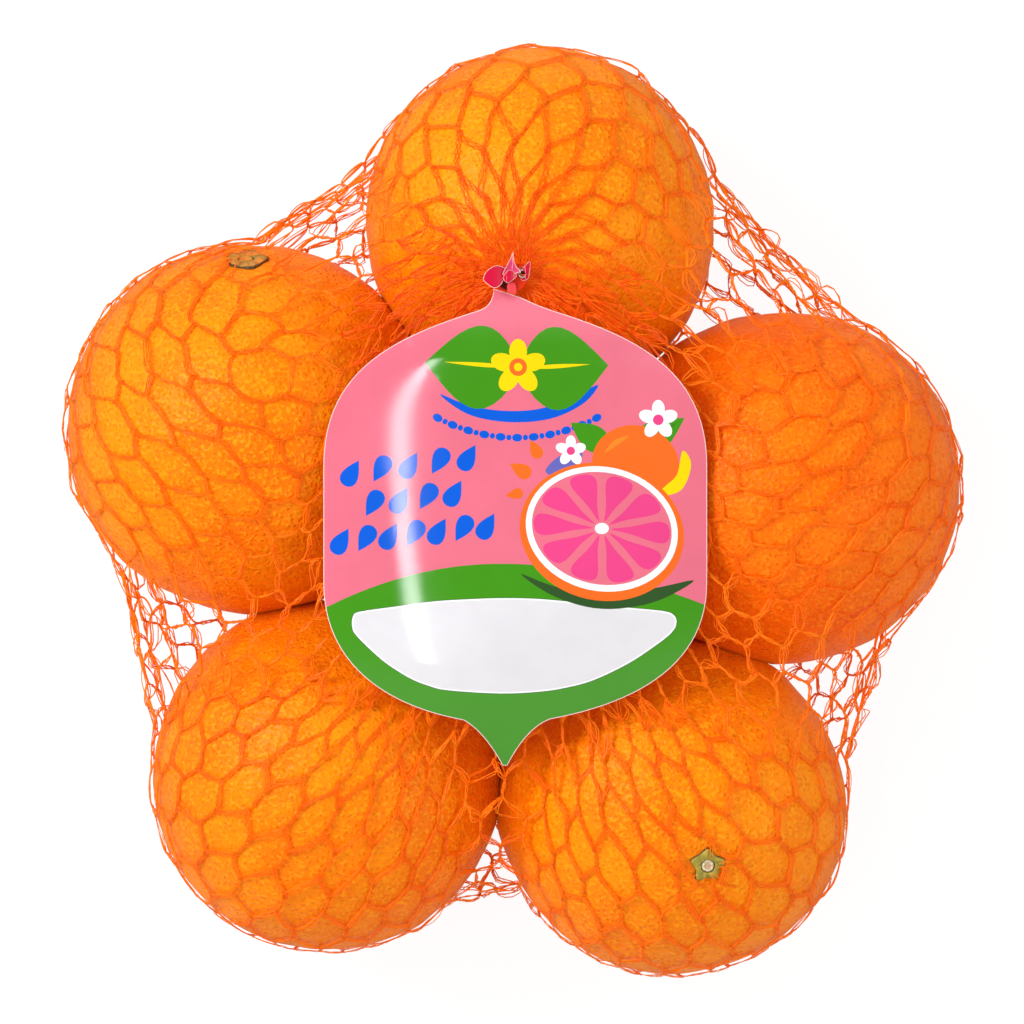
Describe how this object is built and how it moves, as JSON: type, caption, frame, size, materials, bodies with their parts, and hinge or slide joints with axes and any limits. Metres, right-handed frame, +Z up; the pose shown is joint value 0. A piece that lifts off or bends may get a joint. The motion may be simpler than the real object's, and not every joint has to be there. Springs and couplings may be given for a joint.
{
  "type": "net of oranges",
  "caption": "Round citrus fruit lying in a ring inside a knotted net bag, gathered and clipped at the front and back, with a printed film label tied in at the front.",
  "frame": {"origin": "middle of the footprint, on the surface that the pack lies on", "axes": "+Z up out of the label's face, +Y towards the gathered end of the label, +X to the right seen from above"},
  "size_m": [0.1918, 0.1991, 0.0774],
  "materials": {
    "netted_oranges": "satin orange peel under an orange knotted net",
    "label": "glossy printed film, pink over a green foot",
    "clip": "crimped bare metal wire"
  },
  "bodies": {
    "root": {"netted_oranges": "netted_oranges", "label": "label", "front_clip": "clip", "back_clip": "clip"}
  },
  "joints": []
}
